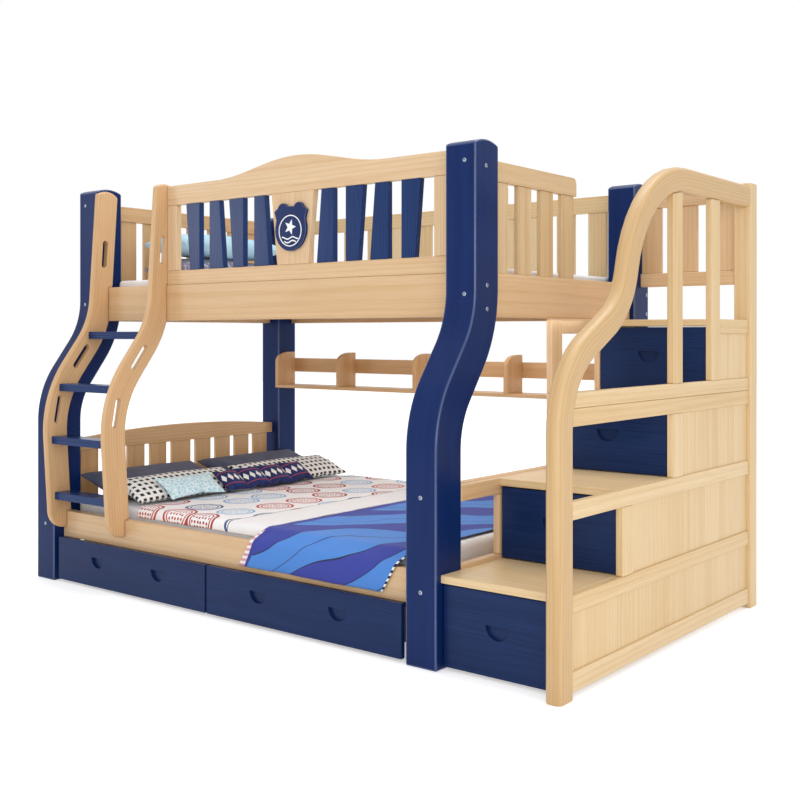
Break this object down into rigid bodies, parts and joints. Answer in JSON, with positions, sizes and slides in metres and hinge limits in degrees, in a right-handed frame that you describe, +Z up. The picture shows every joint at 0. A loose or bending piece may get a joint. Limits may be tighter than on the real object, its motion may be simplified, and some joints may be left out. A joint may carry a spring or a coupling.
{
  "type": "bunk bed",
  "caption": "Wooden bunk bed with a wide lower bunk, S-curved front posts, a leaning ladder, rolling drawers and a stair of drawer steps with a curved handrail.",
  "frame": {"origin": "on the floor, below the middle of the bounding box", "axes": "+X along the bed towards the stair, +Y towards the wall side, +Z up"},
  "size_m": [2.67, 1.5604, 1.76],
  "materials": {
    "pine": "clear satin lacquer on light pine",
    "navy_paint": "satin navy paint on wood",
    "bolt": "zinc plated",
    "wheel": "matte",
    "ticking": "woven white ticking",
    "grey_cloth": "smooth slate cotton",
    "blue_cloth": "smooth cotton",
    "printed_cloth": "printed cotton",
    "throw_cloth": "brushed cotton"
  },
  "bodies": {
    "bed": {"post_front_left": "navy_paint", "post_front_right": "navy_paint", "post_back_left": "navy_paint", "post_back_right": "navy_paint", "lower_rail_front": "pine", "lower_rail_back": "pine", "headboard": "pine", "foot_rails": "pine", "lower_center_beam": "pine", "lower_slats": "pine", "lower_mattress": "ticking", "upper_rail_front": "pine", "upper_rail_back": "pine", "upper_beam_left": "pine", "upper_beam_right": "pine", "upper_slats": "pine", "upper_mattress": "ticking", "guard_front_frame": "pine", "guard_front_panel": "pine", "guard_front_slats": "navy_paint", "guard_shield": "navy_paint", "guard_back": "pine", "guard_left": "pine", "guard_right": "pine", "ladder_rail_left": "pine", "ladder_rail_right": "pine", "ladder_rungs": "navy_paint", "shelf_board": "pine", "shelf_dividers": "pine", "shelf_back_rail": "pine", "stair_handrail": "pine", "stair_rear_post": "pine", "stair_outer_frame": "pine", "stair_outer_panels": "pine", "stair_inner_frame": "pine", "stair_inner_panels": "pine", "stair_treads": "pine", "stair_guard": "pine", "stair_runners": "pine", "bolts": "bolt", "pillows": "grey_cloth", "cushions": "blue_cloth", "bed_cover": "printed_cloth", "throw": "throw_cloth"},
    "step_drawer_1": {"step_drawer_1_front": "navy_paint", "step_drawer_1_box": "pine"},
    "step_drawer_2": {"step_drawer_2_front": "navy_paint", "step_drawer_2_box": "pine"},
    "step_drawer_3": {"step_drawer_3_front": "navy_paint", "step_drawer_3_box": "pine"},
    "step_drawer_4": {"step_drawer_4_front": "navy_paint", "step_drawer_4_box": "pine"},
    "bed_drawer_left": {"bed_drawer_left_front": "navy_paint", "bed_drawer_left_box": "pine"},
    "bed_drawer_right": {"bed_drawer_right_front": "navy_paint", "bed_drawer_right_box": "pine"},
    "bed_drawer_left_front_axle": {"bed_drawer_left_front_wheels": "wheel"},
    "bed_drawer_left_rear_axle": {"bed_drawer_left_rear_wheels": "wheel"},
    "bed_drawer_right_front_axle": {"bed_drawer_right_front_wheels": "wheel"},
    "bed_drawer_right_rear_axle": {"bed_drawer_right_rear_wheels": "wheel"}
  },
  "joints": [
    {"name": "step_drawer_1_slide", "type": "slide", "parent": "bed", "child": "step_drawer_1", "axis": [0, -1, 0], "range_m": [0, 0.4]},
    {"name": "step_drawer_2_slide", "type": "slide", "parent": "bed", "child": "step_drawer_2", "axis": [0, -1, 0], "range_m": [0, 0.3]},
    {"name": "step_drawer_3_slide", "type": "slide", "parent": "bed", "child": "step_drawer_3", "axis": [0, -1, 0], "range_m": [0, 0.4]},
    {"name": "step_drawer_4_slide", "type": "slide", "parent": "bed", "child": "step_drawer_4", "axis": [0, -1, 0], "range_m": [0, 0.22]},
    {"name": "bed_drawer_left_slide", "type": "slide", "parent": "bed", "child": "bed_drawer_left", "axis": [0, -1, 0], "range_m": [0, 0.45]},
    {"name": "bed_drawer_right_slide", "type": "slide", "parent": "bed", "child": "bed_drawer_right", "axis": [0, -1, 0], "range_m": [0, 0.45]},
    {"name": "bed_drawer_left_front_roll", "type": "hinge", "parent": "bed_drawer_left", "child": "bed_drawer_left_front_axle", "pos_m": [-0.7125, -0.62482, 0.022], "axis": [1, 0, 0], "range_deg": [-4, 1180]},
    {"name": "bed_drawer_left_rear_roll", "type": "hinge", "parent": "bed_drawer_left", "child": "bed_drawer_left_rear_axle", "pos_m": [-0.7125, -0.14482, 0.022], "axis": [1, 0, 0], "range_deg": [-4, 1180]},
    {"name": "bed_drawer_right_front_roll", "type": "hinge", "parent": "bed_drawer_right", "child": "bed_drawer_right_front_axle", "pos_m": [0.2415, -0.62482, 0.022], "axis": [1, 0, 0], "range_deg": [-4, 1180]},
    {"name": "bed_drawer_right_rear_roll", "type": "hinge", "parent": "bed_drawer_right", "child": "bed_drawer_right_rear_axle", "pos_m": [0.2415, -0.14482, 0.022], "axis": [1, 0, 0], "range_deg": [-4, 1180]}
  ],
  "couplings": [
    {"joint": "bed_drawer_left_front_roll", "follows": "bed_drawer_left_slide", "rad_per_m": 45.455},
    {"joint": "bed_drawer_left_rear_roll", "follows": "bed_drawer_left_slide", "rad_per_m": 45.455},
    {"joint": "bed_drawer_right_front_roll", "follows": "bed_drawer_right_slide", "rad_per_m": 45.455},
    {"joint": "bed_drawer_right_rear_roll", "follows": "bed_drawer_right_slide", "rad_per_m": 45.455}
  ]
}
